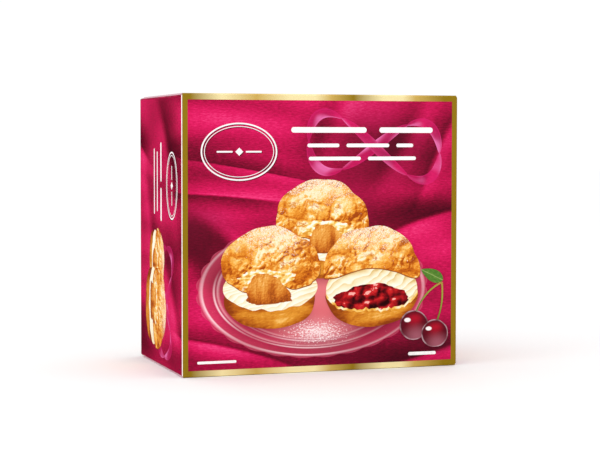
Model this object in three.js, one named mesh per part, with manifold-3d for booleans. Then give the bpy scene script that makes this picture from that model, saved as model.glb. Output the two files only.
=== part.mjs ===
// A shut folding carton for frozen pastries, in millimetres, +Z up.
//
// The carton is one sheet of board, folded into a tube of four walls and glued shut at
// both ends. It stands upright on its bottom end, with the wide front wall facing -Y.
// At each end the flaps lie on one another: the flaps of the side walls innermost, then
// the flap of the back wall, and outermost the flap of the front wall. Each layer is one
// board higher than the last, which gives the small steps seen round the ends.
// The tube is closed along one upright edge at the back, where the right wall's cut
// edge lies over a glue tab. It is shut, so it is modelled as one solid.

import * as THREE from "three";
import { mergeVertices } from "three/addons/utils/BufferGeometryUtils.js";
import Module from "manifold-3d";

// Outside sizes of the carton.
const WIDTH = 190;
const DEPTH = 110;
const HEIGHT = 180;

// The board and its folds.
const BOARD = 0.5;
const FOLD_RADIUS = 0.9;
const FOLD_STEPS = 6;

// How far the flaps are cut back from the walls beside them.
const OUTER_FLAP_RELIEF = 0.8;
const INNER_FLAP_RELIEF = 0.5;
const OUTER_FLAP_SHORT = 1.6;
const INNER_FLAP_SHORT = 1.2;
const FLAP_CORNER_RADIUS = 7;
const FLAP_CORNER_STEPS = 10;

// The glued seam: how far the right wall's cut edge stops short of the back.
const SEAM_SETBACK = 0.4;

// Where the layers of the ends lie, measured in from the outermost face.
const INNER_FLAP_LEVEL = BOARD;
const SIDE_WALL_LEVEL = 2 * BOARD;

const wasm = await Module();
wasm.setup();

// Turns that stand a drawn outline up: first as seen from the front, then from the side.
const SEEN_FROM_FRONT = new THREE.Matrix4().makeBasis(
  new THREE.Vector3(1, 0, 0),
  new THREE.Vector3(0, 0, 1),
  new THREE.Vector3(0, -1, 0),
);
const SEEN_FROM_SIDE = new THREE.Matrix4().makeBasis(
  new THREE.Vector3(0, 1, 0),
  new THREE.Vector3(0, 0, 1),
  new THREE.Vector3(1, 0, 0),
);
const SEEN_FROM_ABOVE = new THREE.Matrix4();

// A rectangle from its lowest to its highest corner. Each corner of the drawing is
// rounded by its own radius, and a radius of 0 leaves it square.
function foldedRectangle(low, high, radii) {
  const corners = [
    { x: low.x, y: low.y, radius: radii.lowLeft ?? 0, start: Math.PI },
    { x: high.x, y: low.y, radius: radii.lowRight ?? 0, start: 1.5 * Math.PI },
    { x: high.x, y: high.y, radius: radii.highRight ?? 0, start: 0 },
    { x: low.x, y: high.y, radius: radii.highLeft ?? 0, start: 0.5 * Math.PI },
  ];
  const shape = new THREE.Shape();
  corners.forEach(({ x, y, radius, start }, index) => {
    if (radius === 0) {
      if (index === 0) shape.moveTo(x, y);
      else shape.lineTo(x, y);
      return;
    }
    const centreX = x === low.x ? x + radius : x - radius;
    const centreY = y === low.y ? y + radius : y - radius;
    shape.absarc(centreX, centreY, radius, start, start + Math.PI / 2, false);
  });
  shape.closePath();
  return shape;
}

// The walls as seen from above: three folded edges and, at the back right, the seam.
function tubeOutline() {
  const x = WIDTH / 2;
  const y = DEPTH / 2;
  const r = FOLD_RADIUS;
  const foldX = x - BOARD;
  const shape = new THREE.Shape();
  shape.absarc(-x + r, -y + r, r, Math.PI, 1.5 * Math.PI, false);
  shape.absarc(x - r, -y + r, r, 1.5 * Math.PI, 2 * Math.PI, false);
  shape.lineTo(x, y - SEAM_SETBACK);
  shape.absarc(foldX - SEAM_SETBACK, y - SEAM_SETBACK, SEAM_SETBACK, 0, Math.PI / 2, false);
  shape.absarc(-x + r, y - r, r, Math.PI / 2, Math.PI, false);
  shape.closePath();
  return shape;
}

// A prism of the outline, centred across the direction in which it is drawn out.
function prism(outline, length, turn, steps = FOLD_STEPS) {
  const geometry = new THREE.ExtrudeGeometry(outline, {
    depth: length,
    bevelEnabled: false,
    curveSegments: steps,
  });
  geometry.translate(0, 0, -length / 2);
  geometry.applyMatrix4(turn);
  return toSolid(geometry);
}

// A closed geometry as a solid that can be joined and cut.
function toSolid(geometry) {
  const bare = geometry.clone();
  bare.deleteAttribute("normal");
  bare.deleteAttribute("uv");
  const merged = mergeVertices(bare, 1e-4);
  return new wasm.Manifold(
    new wasm.Mesh({
      numProp: 3,
      vertProperties: new Float32Array(merged.attributes.position.array),
      triVerts: new Uint32Array(merged.index.array),
    }),
  );
}

// A solid back as a geometry that a mesh can hold.
function toGeometry(solid) {
  const mesh = solid.getMesh();
  const geometry = new THREE.BufferGeometry();
  geometry.setAttribute("position", new THREE.BufferAttribute(mesh.vertProperties, 3));
  geometry.setIndex(new THREE.BufferAttribute(mesh.triVerts, 1));
  geometry.computeVertexNormals();
  return geometry;
}

// The four walls, with the folded ends of the side walls two boards in from the ends.
function walls() {
  const tube = prism(tubeOutline(), HEIGHT, SEEN_FROM_ABOVE).translate([0, 0, HEIGHT / 2]);
  const sideFolds = foldedRectangle(
    { x: -WIDTH / 2, y: SIDE_WALL_LEVEL },
    { x: WIDTH / 2, y: HEIGHT - SIDE_WALL_LEVEL },
    { lowLeft: FOLD_RADIUS, lowRight: FOLD_RADIUS, highRight: FOLD_RADIUS, highLeft: FOLD_RADIUS },
  );
  return tube.intersect(prism(sideFolds, 2 * DEPTH, SEEN_FROM_FRONT));
}

// The back wall's flaps, folded in over both ends and stopping just behind the front.
function innerFlaps() {
  const profile = foldedRectangle(
    { x: -DEPTH / 2 + INNER_FLAP_SHORT, y: INNER_FLAP_LEVEL },
    { x: DEPTH / 2, y: HEIGHT - INNER_FLAP_LEVEL },
    { lowRight: FOLD_RADIUS, highRight: FOLD_RADIUS },
  );
  return prism(profile, WIDTH - 2 * (BOARD + INNER_FLAP_RELIEF), SEEN_FROM_SIDE);
}

// The front wall's flaps, outermost over both ends, with rounded free corners.
function outerFlaps() {
  const backEdge = DEPTH / 2 - OUTER_FLAP_SHORT;
  const halfWidth = WIDTH / 2 - OUTER_FLAP_RELIEF;
  const profile = foldedRectangle(
    { x: -DEPTH / 2, y: 0 },
    { x: backEdge, y: HEIGHT },
    { lowLeft: FOLD_RADIUS, highLeft: FOLD_RADIUS },
  );
  const plan = foldedRectangle(
    { x: -halfWidth, y: -DEPTH / 2 },
    { x: halfWidth, y: backEdge },
    { highRight: FLAP_CORNER_RADIUS, highLeft: FLAP_CORNER_RADIUS },
  );
  const flat = prism(plan, 2 * HEIGHT, SEEN_FROM_ABOVE, FLAP_CORNER_STEPS);
  return prism(profile, WIDTH, SEEN_FROM_SIDE).intersect(flat);
}

const board = new THREE.MeshStandardMaterial({
  color: new THREE.Color(0.62, 0.06, 0.2),
  roughness: 0.42,
  metalness: 0,
});

const carton = new THREE.Mesh(toGeometry(walls().add(innerFlaps()).add(outerFlaps())), board);
carton.name = "carton";

const part = new THREE.Group();
part.name = "pastry_carton";
part.add(carton);

export default part;
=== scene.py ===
# %% [markdown]
# # A shut carton for frozen cream puffs
#
# The real object is one sheet of white board. It is printed flat, varnished, folded
# round into a tube of four walls and glued shut at both ends. The frame holds it as one
# solid, with the folds, the flap steps at the ends and the glued seam.
#
# There are two ways to dress it: rebuild the carton as a new mesh, or leave the solid
# showing as the bare board and lay the print on it. The second is how the real thing is
# made, and it gives each wall its own sharp finish, so that way is taken here.

# %% Load the frame
import functools
import math

import bmesh
import bpy
from mathutils import Matrix, Vector


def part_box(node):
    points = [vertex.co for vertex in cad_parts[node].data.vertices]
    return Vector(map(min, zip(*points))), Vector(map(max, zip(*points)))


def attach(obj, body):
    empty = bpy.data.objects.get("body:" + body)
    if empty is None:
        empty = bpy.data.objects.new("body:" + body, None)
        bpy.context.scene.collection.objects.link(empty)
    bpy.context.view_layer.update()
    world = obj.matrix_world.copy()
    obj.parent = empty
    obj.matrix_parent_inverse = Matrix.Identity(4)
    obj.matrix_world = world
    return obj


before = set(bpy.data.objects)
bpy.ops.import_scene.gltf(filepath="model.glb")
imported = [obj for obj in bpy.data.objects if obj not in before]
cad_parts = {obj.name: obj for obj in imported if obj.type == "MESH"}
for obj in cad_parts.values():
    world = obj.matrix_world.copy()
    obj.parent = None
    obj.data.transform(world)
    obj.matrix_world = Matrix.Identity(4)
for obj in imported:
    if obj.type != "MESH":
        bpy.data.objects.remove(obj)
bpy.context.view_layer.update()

MM = 0.001
LOW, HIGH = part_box("carton")
WIDTH, DEPTH, HEIGHT = ((HIGH - LOW) / MM)[:]
print(f"carton: {WIDTH:.1f} wide, {DEPTH:.1f} deep, {HEIGHT:.1f} high, in millimetres")

# %% [markdown]
# ## The walls as drawing boards
#
# Print is drawn flat, so each wall gets a small drawing board: an origin at the middle
# of the wall, one direction to the right, one up, and a third out of the wall. Shapes
# are drawn on it in millimetres and are then stood against the wall by one matrix.
#
# The print was one flat sheet before it was folded. `sheet` keeps where the middle of
# each wall lay on it, so that the cloth pattern can run on over the folds. The pictures
# on the narrow walls lie on their sides, each with its top towards the viewer's right.

# %% Drawing boards
X, Y, Z = Vector((1, 0, 0)), Vector((0, 1, 0)), Vector((0, 0, 1))
MIDDLE = HEIGHT / 2
# Places on the flat sheet are in units of this many millimetres, which suits the patterns.
SHEET_UNIT = 100


class Board:
    """A wall, or a picture turned on it, that shapes are drawn on in millimetres."""

    def __init__(self, middle, right, up, sheet, turned=False):
        out = right.cross(up)
        self.sheet = sheet
        self.turned = turned
        rows = [[MM * right[axis], MM * up[axis], MM * out[axis], 0] for axis in range(3)]
        self.matrix = Matrix.Translation(MM * Vector(middle)) @ Matrix(rows + [[0, 0, 0, 1]])

    def on_sheet(self, x, y):
        """A place on this board as a place on the flat sheet, in the sheet's units."""
        across, up = (y, -x) if self.turned else (x, y)
        return (self.sheet[0] + across) / SHEET_UNIT, (self.sheet[1] + up) / SHEET_UNIT


# How far apart the middles of two neighbouring walls lie on the flat sheet.
BESIDE = (WIDTH + DEPTH) / 2
BOARDS = {
    "front": Board((0, -DEPTH / 2, MIDDLE), X, Z, (0, MIDDLE)),
    "left": Board((-WIDTH / 2, 0, MIDDLE), -Y, Z, (-BESIDE, MIDDLE)),
    "right": Board((WIDTH / 2, 0, MIDDLE), Y, Z, (BESIDE, MIDDLE)),
    "back": Board((0, DEPTH / 2, MIDDLE), -X, Z, (-2 * BESIDE, MIDDLE)),
    "top": Board((0, 0, HEIGHT), X, Y, (0, HEIGHT + DEPTH / 2)),
    "bottom": Board((0, 0, 0), X, -Y, (0, -DEPTH / 2)),
    "left picture": Board((-WIDTH / 2, 0, MIDDLE), -Z, -Y, (-BESIDE, MIDDLE), turned=True),
    "right picture": Board((WIDTH / 2, 0, MIDDLE), -Z, Y, (BESIDE, MIDDLE), turned=True),
}
print("drawing boards:", ", ".join(BOARDS))

# %% [markdown]
# ## Colours
#
# A colour is easiest to judge as it looks on a screen, from 0 to 255. A shader socket
# takes linear light instead. `srgb` turns one into the other, and `tones` does the same
# for all the stops of a colour ramp.

# %% Screen colours
def srgb(red, green, blue):
    """A screen colour from 0 to 255 as the linear colour that a shader socket takes."""
    shares = [channel / 255 for channel in (red, green, blue)]
    linear = [c / 12.92 if c <= 0.04045 else ((c + 0.055) / 1.055) ** 2.4 for c in shares]
    return (*linear, 1.0)


def tones(*stops):
    """The stops of a colour ramp, each written as its place and its screen values."""
    return [(place, srgb(*colour)) for place, *colour in stops]


print("magenta of the cloth, linear:", [round(channel, 3) for channel in srgb(190, 28, 78)])

# %% [markdown]
# ## Writing shader nodes as short calls
#
# Every finish here is a node tree. Written out one node at a time, a tree takes pages, so
# `Nodes` holds a tree and adds a node, its settings and its links in one call. `Wiring`
# goes on from it with the steps that most finishes share, such as a fade or a ramp.

# %% A short way to write nodes
class Nodes:
    """Writes nodes into one tree. A value given to a socket is a number or another socket."""

    def __init__(self, tree):
        self.tree = tree

    def feed(self, socket, value):
        if isinstance(value, bpy.types.NodeSocket):
            self.tree.links.new(value, socket)
        else:
            socket.default_value = value

    def node(self, kind, settings=None, **sockets):
        made = self.tree.nodes.new("ShaderNode" + kind)
        for key, value in (settings or {}).items():
            setattr(made, key, value)
        for key, value in sockets.items():
            self.feed(made.inputs[key.replace("_", " ")], value)
        return made

    def math(self, operation, *values, clamp=False):
        made = self.node("Math", {"operation": operation, "use_clamp": clamp})
        for socket, value in zip(made.inputs, values):
            self.feed(socket, value)
        return made.outputs[0]

    def times(self, *values):
        return functools.reduce(lambda product, value: self.math("MULTIPLY", product, value), values)

    def add(self, start, *terms):
        """start and a share of each mask. Each term is a mask and its share."""
        return functools.reduce(lambda total, term: self.math("MULTIPLY_ADD", *term, total), terms, start)

    def vector(self, operation, *values):
        made = self.node("VectorMath", {"operation": operation})
        for socket, value in zip(made.inputs, values):
            self.feed(socket, value)
        return made.outputs["Value" if operation == "LENGTH" else "Vector"]

    def group(self, tree, **sockets):
        made = self.node("Group", {"node_tree": tree})
        for key, value in sockets.items():
            self.feed(made.inputs[key.replace("_", " ")], value)
        return made


# %% The steps of a finish
class Wiring(Nodes):
    """The steps that most finishes share, each as one call."""

    def parts(self, vector):
        """The three parts of a vector."""
        return self.node("SeparateXYZ", Vector=vector).outputs[:]

    def radius(self, vector):
        """How far a place is from the middle of its shape, across the paper."""
        return self.vector("LENGTH", self.vector("MULTIPLY", vector, (1, 1, 0)))

    def fade(self, value, start, end, low=0.0, high=1.0):
        """low before start, high after end, and a smooth step between them."""
        made = self.node("MapRange", {"interpolation_type": "SMOOTHSTEP"}, Value=value)
        for name, number in (("From Min", start), ("From Max", end), ("To Min", low), ("To Max", high)):
            made.inputs[name].default_value = number
        return made.outputs[0]

    def ramp(self, value, stops):
        """stops are pairs of a place from 0 to 1 and a colour."""
        made = self.node("ValToRGB", Fac=value)
        elements = made.color_ramp.elements
        while len(elements) < len(stops):
            elements.new(0.5)
        for element, (place, colour) in zip(elements, stops):
            element.position = place
            element.color = colour
        return made.outputs["Color"]

    def mix(self, share, first, second):
        """A Mix node has sockets for each kind of data. Its colours are 6, 7 and output 2."""
        made = self.node("Mix", {"data_type": "RGBA", "clamp_factor": True})
        for index, value in ((0, share), (6, first), (7, second)):
            self.feed(made.inputs[index], value)
        return made.outputs[2]

    def over(self, colour, other, *masks):
        """colour with another one laid over it, as far as all the masks together let it."""
        return self.mix(self.times(*masks), colour, other)

    def noise(self, vector, scale, detail=2.0, roughness=0.5, distortion=0.0):
        values = {"Scale": scale, "Detail": detail, "Roughness": roughness, "Distortion": distortion}
        return self.node("TexNoise", Vector=vector, **values).outputs[0]


# %% [markdown]
# An effect that several finishes share is a node group. `effect` makes an empty one with
# named inputs and outputs, and returns its tree, a wiring for it and both of its ends.

# %% Node groups
def effect(name, inputs, outputs):
    """A shader node group with named inputs and outputs: its tree, wiring, and both ends."""
    tree = bpy.data.node_groups.new(name, "ShaderNodeTree")
    for socket, value in inputs.items():
        kind = "NodeSocketFloat" if isinstance(value, float) else "NodeSocketVector"
        made = tree.interface.new_socket(socket, in_out="INPUT", socket_type=kind)
        made.default_value = value
    for socket, kind in outputs.items():
        tree.interface.new_socket(socket, in_out="OUTPUT", socket_type="NodeSocket" + kind)
    start = tree.nodes.new("NodeGroupInput").outputs
    end = tree.nodes.new("NodeGroupOutput").inputs
    return tree, Wiring(tree), start, end


# %% [markdown]
# ## Effects that several inks share
#
# A printed picture is flat, so all its light and shade is painted. Four effects come
# back in many of the inks, and each is a node group:
#
# - a soft spot, the round fade from which highlights and shadows are painted;
# - painted relief, which makes a flat picture look lumpy. It compares a height pattern
#   with the same pattern moved a little towards the light. Where the height drops away
#   from the light the picture is darker. Nothing is raised: it is a drawn shadow;
# - sugar dust, fine specks that crowd together where the amount is high;
# - varnished paper, the faint fibre and waviness that all printed board has.

# %% Soft spot
SOFT_SPOT, wire, start, end = effect(
    "soft spot",
    {"Vector": (0, 0, 0), "Centre": (0, 0, 0), "Size": (1, 1, 1)},
    {"Mask": "Float"},
)
away = wire.vector("DIVIDE", wire.vector("SUBTRACT", start["Vector"], start["Centre"]), start["Size"])
wire.feed(end["Mask"], wire.fade(wire.radius(away), 0, 1, 1, 0))
print("effect:", SOFT_SPOT.name)

# %% Painted relief
PAINTED_RELIEF, wire, start, end = effect(
    "painted relief",
    {"Vector": (0, 0, 0), "Light": (0, 0, 0), "Scale": 4.0, "Lumps": 0.5, "Softness": 0.6, "Depth": 2.0},
    {"Shade": "Float"},
)


def relief_height(vector):
    """Rough grain with rounded lumps in it, from about 0 to 1."""
    look = {"Vector": vector, "Scale": start["Scale"], "Smoothness": start["Softness"]}
    cells = wire.node("TexVoronoi", {"feature": "SMOOTH_F1"}, **look)
    rounded = wire.math("SUBTRACT", 1.0, cells.outputs["Distance"])
    return wire.add(wire.noise(vector, start["Scale"], 4, 0.6, 0.3), (rounded, start["Lumps"]))


towards_light = wire.vector("ADD", start["Vector"], start["Light"])
slope = wire.math("SUBTRACT", relief_height(start["Vector"]), relief_height(towards_light))
wire.feed(end["Shade"], wire.math("MULTIPLY_ADD", slope, start["Depth"], 0.5, clamp=True))
print("effect:", PAINTED_RELIEF.name)

# %% Sugar dust
SUGAR_DUST, wire, start, end = effect(
    "sugar dust",
    {"Vector": (0, 0, 0), "Scale": 26.0, "Amount": 0.5},
    {"Mask": "Float"},
)
specks = wire.noise(start["Vector"], start["Scale"], 2, 0.7)
wire.feed(end["Mask"], wire.fade(wire.add(specks, (start["Amount"], 0.3)), 0.62, 0.72))
print("effect:", SUGAR_DUST.name)

# %% Varnished paper
PAPER, wire, start, end = effect(
    "varnished paper",
    {"Vector": (0, 0, 0), "Roughness": 0.4},
    {"Height": "Float", "Roughness": "Float"},
)
fibre = wire.noise(wire.vector("MULTIPLY", start["Vector"], (900, 900, 2600)), 1.0, 3.0, 0.6)
waves = wire.noise(start["Vector"], 22.0, 1.0)
patches = wire.noise(start["Vector"], 60.0, 3.0, 0.6)
wire.feed(end["Height"], wire.add(fibre, (waves, 6.0)))
wire.feed(end["Roughness"], wire.add(start["Roughness"], (wire.math("SUBTRACT", patches, 0.5), 0.16)))
print("effect:", PAPER.name)

# %% [markdown]
# ## Satin
#
# The background is a picture of satin in soft folds. Satin is bright along each rounded
# fold, falls off slowly on one side and stops sharply where the next fold laps over it.
#
# Two things draw that. Slow noise, stretched along the lie of the cloth, gives the broad
# soft light all over the sheet. Then single folds are laid where the eye rests: a dark
# line with light under it and shade over it, which fades out towards both ends.
# Their list is the cloth's own layout on the flat sheet. A fine weave covers it all.

# %% Single folds of cloth
FOLD_EDGE, wire, start, end = effect(
    "fold edge",
    {
        "Vector": (0, 0, 0),
        "Middle": (0, 0, 0),
        "Turn": (0, 0, 0),
        "Reach": (1, 1, 1),
        "Bow": 0.0,
        "Softness": 0.1,
    },
    {"Shade": "Float"},
)
local = wire.node(
    "Mapping",
    {"vector_type": "TEXTURE"},
    Vector=start["Vector"],
    Location=start["Middle"],
    Rotation=start["Turn"],
    Scale=start["Reach"],
)
along, across, _ = wire.parts(local.outputs[0])
arch = wire.math("SUBTRACT", wire.times(along, along), 1.0)
across = wire.add(across, (arch, start["Bow"]))
from_edge = wire.math("DIVIDE", across, start["Softness"])
above = wire.fade(from_edge, -1, 1)
light = wire.times(wire.fade(across, -1.1, 0), wire.math("SUBTRACT", 1.0, above))
shade = wire.times(wire.fade(across, 0.0, 1.5, 1, 0), above)
line = wire.fade(wire.math("ABSOLUTE", from_edge), 0.0, 2.0, 1, 0)
ends = wire.fade(wire.math("ABSOLUTE", along), 0.1, 1.0, 1, 0)
drawn = wire.add(0.0, (light, 0.36), (shade, -0.36), (line, -0.14))
wire.feed(end["Shade"], wire.times(drawn, ends))
print("effect:", FOLD_EDGE.name)

# %% The satin's colours and folds
SATIN_COLOURS = tones(
    (0.0, 76, 0, 24),
    (0.25, 114, 0, 36),
    (0.47, 162, 2, 58),
    (0.64, 196, 8, 76),
    (0.82, 224, 22, 96),
    (1.0, 242, 60, 126),
)
# Each fold: the place of its middle on the sheet, its turn in degrees, half its length, how
# far its light and shade spread, its bow, its strength and its softness. Places and lengths
# are in millimetres, and bow and softness are shares of the spread. A strength below 0 swaps
# light and shade.
SATIN_FOLDS = [
    (-48, 128, -10, 84, 8, 0.4, 0.7, 0.06),
    (-50, 164, -8, 80, 34, 0.1, 0.6, 0.25),
    (-64, 112, -5, 66, 13, 0.2, -0.95, 0.06),
    (-62, 80, -38, 56, 16, 0.3, -0.7, 0.3),
    (-84, 60, -52, 50, 22, 0.2, 0.7, 0.5),
    (-66, 12, -14, 70, 13, 0.5, 0.9, 0.09),
    (10, 158, 66, 46, 16, 0.3, 0.7, 0.5),
    (52, 150, 58, 50, 16, -0.3, 0.8, 0.4),
    (84, 142, 64, 52, 12, 0.3, 0.8, 0.22),
    (76, 92, 16, 56, 16, 0.5, 0.9, 0.12),
    (66, 14, 14, 70, 14, -0.5, 0.9, 0.12),
    (-136, 138, -56, 66, 24, 0.4, 0.7, 0.3),
    (-166, 96, -66, 74, 20, -0.4, 0.6, 0.45),
    (-126, 40, -52, 60, 24, 0.5, 0.7, 0.3),
    (140, 124, 52, 70, 24, 0.4, 0.7, 0.3),
    (166, 60, 62, 74, 20, -0.4, 0.6, 0.45),
    (-236, 150, -18, 90, 16, 0.5, 0.9, 0.12),
    (-330, 118, 20, 80, 18, -0.4, 0.9, 0.3),
    (-284, 30, 12, 110, 16, 0.6, 0.9, 0.12),
    (-36, 236, 12, 96, 16, 0.5, 0.9, 0.1),
    (52, 212, -14, 70, 18, 0.5, 0.8, 0.3),
    (30, -60, -12, 100, 18, 0.5, 0.9, 0.15),
]
print("folds laid by hand:", len(SATIN_FOLDS))

# %% Satin
SATIN, wire, start, end = effect("satin", {"Vector": (0, 0, 0)}, {"Color": "Color"})


def broad_light(turn, stretch, scale, distortion):
    """Soft bands of light that run along one direction, from 0 to 1."""
    turned = (0, 0, math.radians(turn))
    laid = wire.node("Mapping", Vector=start["Vector"], Rotation=turned, Scale=(1, stretch, 1))
    return wire.fade(wire.noise(laid.outputs[0], scale, 1.5, 0.45, distortion), 0.3, 0.7)


shade = wire.add(0.2, (broad_light(24, 3.2, 0.7, 0.15), 0.4), (broad_light(-38, 4.0, 0.8, 0.2), 0.28))
for x, y, turn, length, spread, bow, strength, softness in SATIN_FOLDS:
    fold = wire.group(
        FOLD_EDGE,
        Vector=start["Vector"],
        Middle=(x / SHEET_UNIT, y / SHEET_UNIT, 0),
        Turn=(0, 0, math.radians(turn)),
        Reach=(length / SHEET_UNIT, spread / SHEET_UNIT, 1),
        Bow=bow,
        Softness=softness,
    )
    shade = wire.add(shade, (fold.outputs["Shade"], strength))
weave = wire.noise(wire.vector("MULTIPLY", start["Vector"], (32, 120, 1)), 1.0, 2.0, 0.7)
shade = wire.add(shade, (wire.math("SUBTRACT", weave, 0.5), 0.6))
wire.feed(end["Color"], wire.ramp(shade, SATIN_COLOURS))
print("effect:", SATIN.name)

# %% [markdown]
# ## Inks
#
# Each ink is a material that ends the same way: its colour goes into a Principled shader
# over varnished paper. `printed` makes that common end, and the ink's own function only
# paints the colour. The varnish is kept thin, because a strong one mirrors so much of a
# pale room in a wall seen at a low angle that the colours wash out.
#
# The picture inks read an attribute that each shape carries, `motif`: its own flat
# coordinates, from about -1 to 1 both ways, with a seed as the third. So one ink serves
# every puff at any size, and the seed shifts the pattern so that no two look alike.

# %% The common end of every ink
# How deep the fibre of the paper is, and how strongly the varnish on it shines.
FIBRE_DEPTH = 0.012 * MM
GLOSS = 0.09


def printed(name, paint, roughness=0.45, metallic=0.0, coat=0.04):
    """A material whose colour is painted by paint(wire) on varnished paper."""
    material = bpy.data.materials.new(name)
    material.use_nodes = True
    material.node_tree.nodes.clear()
    wire = Wiring(material.node_tree)
    place = wire.node("TexCoord").outputs["Object"]
    paper = wire.group(PAPER, Vector=place, Roughness=roughness)
    bump = wire.node("Bump", Strength=0.6, Distance=FIBRE_DEPTH, Height=paper.outputs["Height"])
    shader = wire.node(
        "BsdfPrincipled",
        Base_Color=paint(wire),
        Roughness=paper.outputs["Roughness"],
        Metallic=metallic,
        Specular_IOR_Level=GLOSS,
        Coat_Weight=coat,
        Coat_Roughness=0.2,
        Normal=bump.outputs[0],
    )
    wire.node("OutputMaterial", Surface=shader.outputs[0])
    return material


# %% Masks to paint with
def own_place(wire, attribute):
    """The coordinates that a piece carries, whole, and its first two parts."""
    place = wire.node("Attribute", {"attribute_name": attribute}).outputs["Vector"]
    across, up, _ = wire.parts(place)
    return place, across, up


def spot(wire, vector, centre, size):
    """The mask of one soft spot."""
    made = wire.group(SOFT_SPOT, Vector=vector, Centre=(*centre, 0), Size=(*size, 1))
    return made.outputs["Mask"]


def relief(wire, vector, light, scale, lumps, depth, softness=0.6):
    """The shade of one painted relief."""
    look = {"Scale": scale, "Lumps": lumps, "Softness": softness, "Depth": depth}
    return wire.group(PAINTED_RELIEF, Vector=vector, Light=(*light, 0), **look).outputs["Shade"]


def dust(wire, vector, scale, amount):
    """The mask of sugar dust where the amount is high."""
    return wire.group(SUGAR_DUST, Vector=vector, Scale=scale, Amount=amount).outputs["Mask"]


def blotchy(wire, place, colour, darker, scale, start=0.42, end=0.6):
    """A colour with soft patches of a darker one."""
    return wire.mix(wire.fade(wire.noise(place, scale, 3.0, 0.6), start, end), darker, colour)


# %% [markdown]
# The background ink is the satin, on the flat sheet's own coordinates. Where the plate and
# the fruit lie on the cloth, it also carries the soft shadows that they throw.

# %% Satin ink
SHADE_OF_CLOTH = srgb(84, 6, 30)


def cloth(wire):
    """The satin at this place of the flat sheet, as background or behind a sheer thing."""
    place, _, _ = own_place(wire, "sheet")
    return wire.group(SATIN, Vector=place).outputs["Color"]


def satin_ink(shadows=()):
    """The background of one wall, darkened under the given soft spots."""

    def paint(wire):
        place, _, _ = own_place(wire, "sheet")
        colour = cloth(wire)
        for centre, size, strength in shadows:
            colour = wire.over(colour, SHADE_OF_CLOTH, spot(wire, place, centre, size), strength)
        return colour

    return paint


# %% [markdown]
# The frame round the front is imitation gold: flat ink that runs from olive to pale
# cream and back across the width, as if light slid over a polished bar.

# %% Gold ink
OLIVE, TAN, PALE_GOLD = (153, 122, 19), (214, 178, 92), (255, 237, 178)
GOLD_STOPS = tones(
    (0.03, *OLIVE), (0.14, *PALE_GOLD), (0.26, *TAN), (0.38, *PALE_GOLD), (0.47, *PALE_GOLD), (0.53, *TAN),
    (0.61, *OLIVE), (0.72, *PALE_GOLD), (0.79, *PALE_GOLD), (0.84, *TAN), (0.95, *OLIVE),
)


def gold_ink(wire):
    across, _, _ = wire.parts(wire.node("TexCoord").outputs["Object"])
    return wire.ramp(wire.math("MULTIPLY_ADD", across, 1 / (WIDTH * MM), 0.5), GOLD_STOPS)


# %% [markdown]
# ## Inks of the picture
#
# A choux bun bakes into a craggy dome, pale and sugared on top and brown in its cracks.
# Its ink is built up as a painter would: the round form first, then lumps, then brown
# cracks and speckle, then the dust of sugar. The cracks are the borders between the
# cells of a Voronoi pattern, bent by noise and kept to a few patches.
#
# The lid splits in front as it bakes, and a smooth tongue of crust hangs out under the
# ragged pale edge of the split.

# %% Bent and stretched patterns
def bent(wire, vector, scale, amount):
    """A place pushed about by noise, to make straight patterns irregular."""
    push = wire.node("TexNoise", Vector=vector, Scale=scale, Detail=2.0).outputs["Color"]
    push = wire.vector("SUBTRACT", push, (0.5, 0.5, 0.5))
    return wire.vector("MULTIPLY_ADD", push, (amount, amount, 0), vector)


def stretched(wire, vector, across, up):
    return wire.vector("MULTIPLY", vector, (across, up, 1))


def from_border(wire, vector, scale):
    """How far a place is from the border of its cell."""
    cells = wire.node("TexVoronoi", {"feature": "DISTANCE_TO_EDGE"}, Vector=vector, Scale=scale)
    return cells.outputs["Distance"]


# %% Crust ink
CRUST_COLOURS = tones(
    (0.0, 166, 70, 4),
    (0.2, 210, 114, 16),
    (0.4, 236, 150, 44),
    (0.6, 247, 182, 78),
    (0.8, 253, 210, 124),
    (1.0, 255, 240, 198),
)
SUGAR = srgb(255, 244, 230)
MELTED_SUGAR = srgb(255, 220, 160)
BLOOM = srgb(252, 188, 100)
CRACK = srgb(206, 108, 12)


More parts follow.
